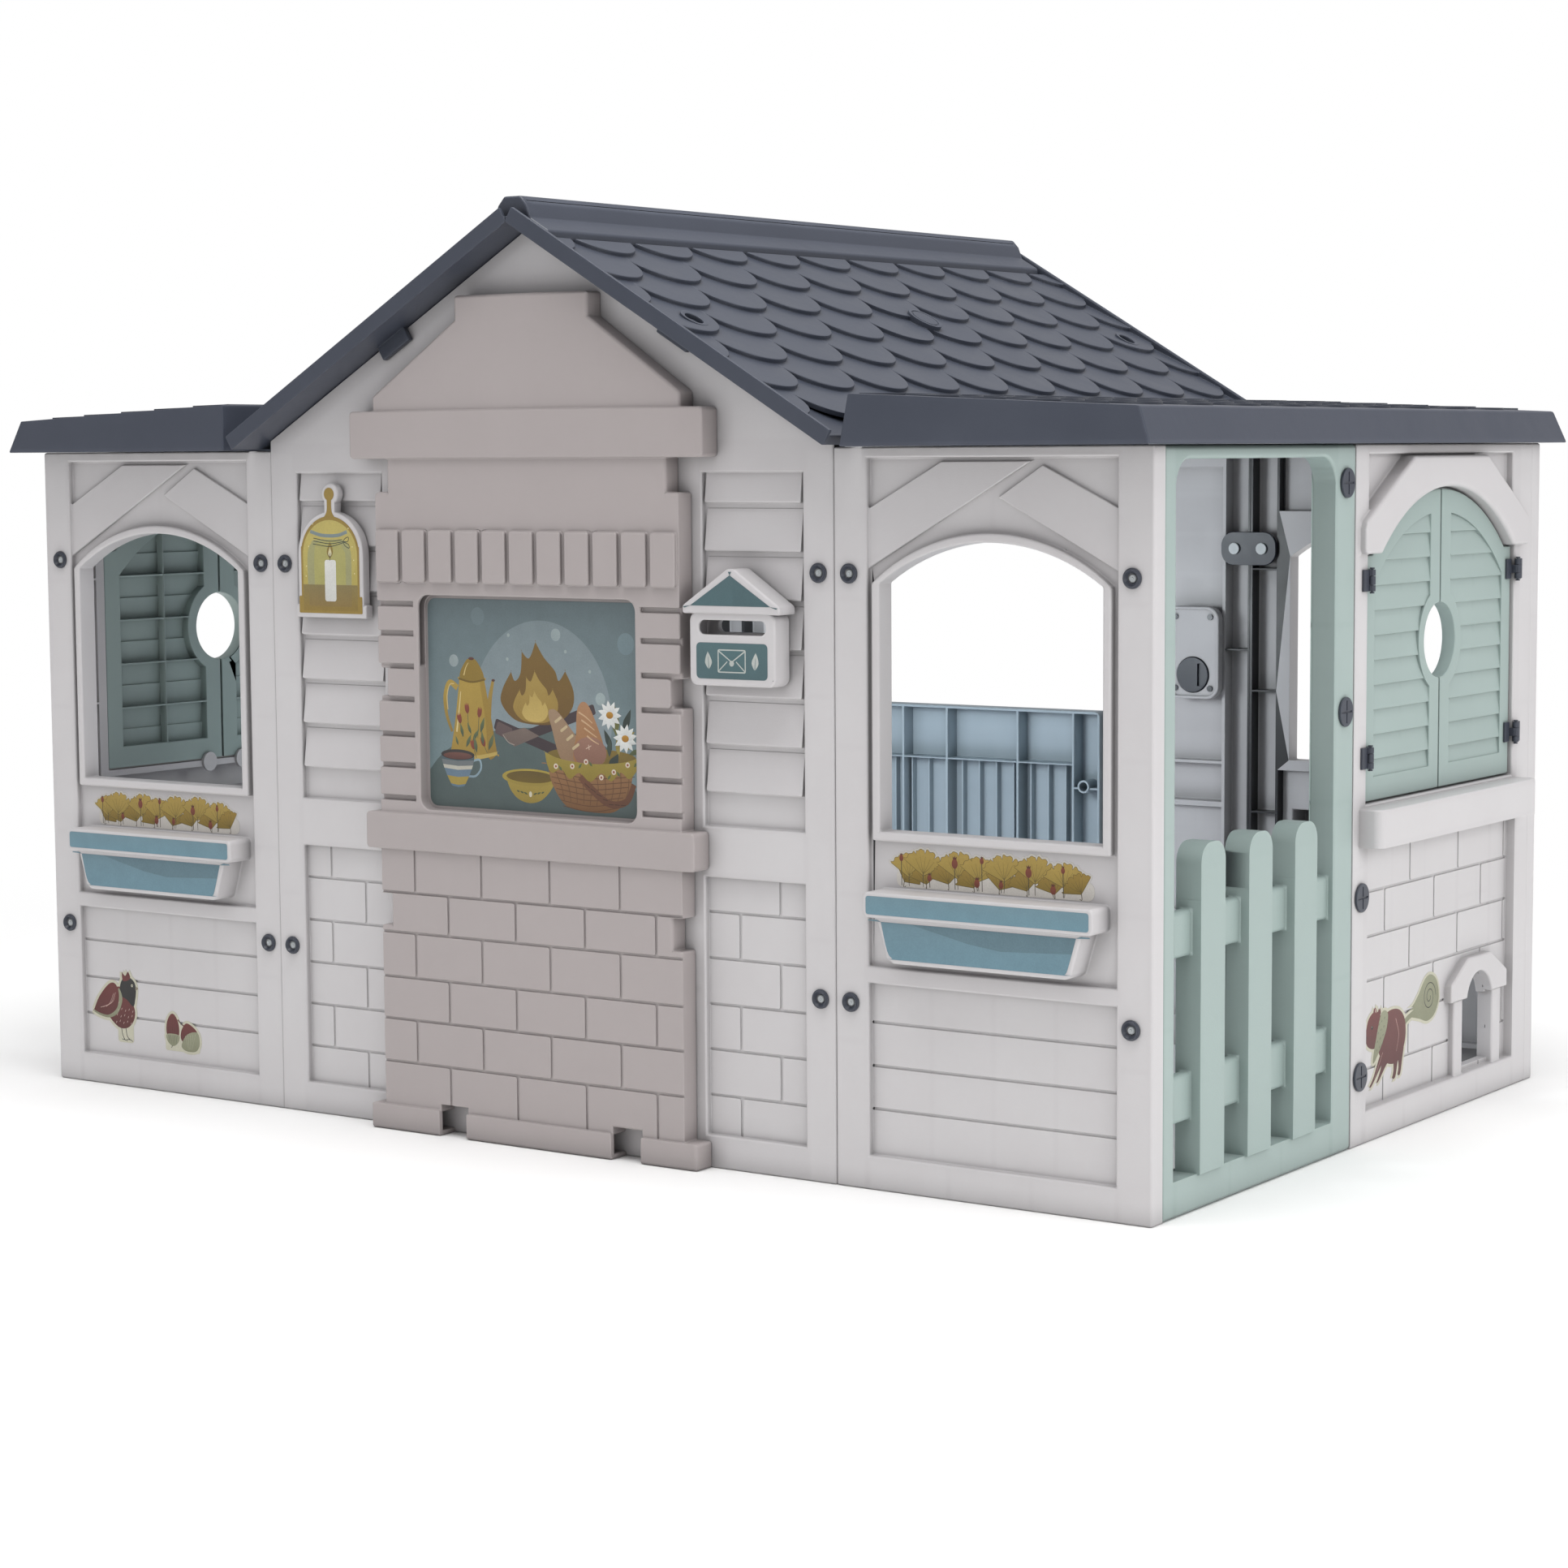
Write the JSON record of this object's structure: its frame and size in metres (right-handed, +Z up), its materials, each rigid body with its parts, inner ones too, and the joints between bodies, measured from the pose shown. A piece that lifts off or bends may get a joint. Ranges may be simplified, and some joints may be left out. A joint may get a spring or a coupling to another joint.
{
  "type": "plastic playhouse",
  "caption": "Moulded toddler playhouse with a gable roof of round tiles, fireplace front, picket door frames, swinging window shutters and a half door.",
  "frame": {"origin": "on the ground under the middle of the house", "axes": "+X along the long front to the right, -Y towards the fireplace front, +Z up"},
  "size_m": [1.675, 1.124, 1.102],
  "materials": {
    "wall_plastic": "moulded polyethylene, fine orange-peel satin",
    "sage_plastic": "moulded polyethylene, satin",
    "door_plastic": "moulded polyethylene, satin",
    "fireplace_plastic": "moulded polyethylene, satin",
    "roof_plastic": "moulded polyethylene, satin",
    "hinge_plastic": "moulded polypropylene, satin",
    "fastener_plastic": "moulded polypropylene, satin",
    "bolt_plastic": "moulded nylon",
    "screw_steel": "blackened steel",
    "printed_label": "printed vinyl film"
  },
  "bodies": {
    "house": {"front_left_wall": "wall_plastic", "front_right_wall": "wall_plastic", "back_left_wall": "wall_plastic", "back_right_wall": "wall_plastic", "front_gable_wall": "wall_plastic", "back_gable_wall": "wall_plastic", "right_shutter_wall": "wall_plastic", "left_shutter_wall": "wall_plastic", "mailbox": "wall_plastic", "lantern_plaque": "wall_plastic", "battery_box": "wall_plastic", "right_door_frame": "sage_plastic", "left_door_frame": "sage_plastic", "fireplace": "fireplace_plastic", "roof_left": "roof_plastic", "roof_right": "roof_plastic", "ridge_cap": "roof_plastic", "wing_roof_left": "roof_plastic", "wing_roof_right": "roof_plastic", "hinge_brackets": "hinge_plastic", "hinge_pins": "hinge_plastic", "wall_nuts": "fastener_plastic", "connector_plates": "fastener_plastic", "frame_screws": "fastener_plastic", "roof_screws": "fastener_plastic", "battery_box_cap": "fastener_plastic", "wall_bolts": "bolt_plastic", "battery_box_screws": "screw_steel", "fire_picture": "printed_label", "lantern_sticker": "printed_label", "mailbox_sticker": "printed_label", "planter_stickers": "printed_label", "flower_stickers": "printed_label", "bird_sticker": "printed_label", "acorn_sticker": "printed_label", "squirrel_sticker": "printed_label"},
    "right_shutter_a": {"right_shutter_a": "sage_plastic", "right_shutter_a_hinges": "hinge_plastic"},
    "right_shutter_b": {"right_shutter_b": "sage_plastic", "right_shutter_b_hinges": "hinge_plastic"},
    "left_shutter_a": {"left_shutter_a": "sage_plastic", "left_shutter_a_hinges": "hinge_plastic"},
    "left_shutter_b": {"left_shutter_b": "sage_plastic", "left_shutter_b_hinges": "hinge_plastic"},
    "half_door": {"half_door": "door_plastic", "half_door_hinges": "hinge_plastic"}
  },
  "joints": [
    {"name": "right_shutter_a_hinge", "type": "hinge", "parent": "house", "child": "right_shutter_a", "pos_m": [0.812, 0.00525, 0.54], "axis": [0, 0, -1], "range_deg": [0, 160]},
    {"name": "right_shutter_b_hinge", "type": "hinge", "parent": "house", "child": "right_shutter_b", "pos_m": [0.812, 0.43475, 0.54], "axis": [0, 0, 1], "range_deg": [0, 160]},
    {"name": "left_shutter_a_hinge", "type": "hinge", "parent": "house", "child": "left_shutter_a", "pos_m": [-0.812, -0.00525, 0.54], "axis": [0, 0, -1], "range_deg": [0, 160]},
    {"name": "left_shutter_b_hinge", "type": "hinge", "parent": "house", "child": "left_shutter_b", "pos_m": [-0.812, -0.43475, 0.54], "axis": [0, 0, 1], "range_deg": [0, 160]},
    {"name": "half_door_hinge", "type": "hinge", "parent": "house", "child": "half_door", "pos_m": [-0.1915, 0.5165, 0.25], "axis": [0, 0, 1], "range_deg": [0, 110]}
  ]
}
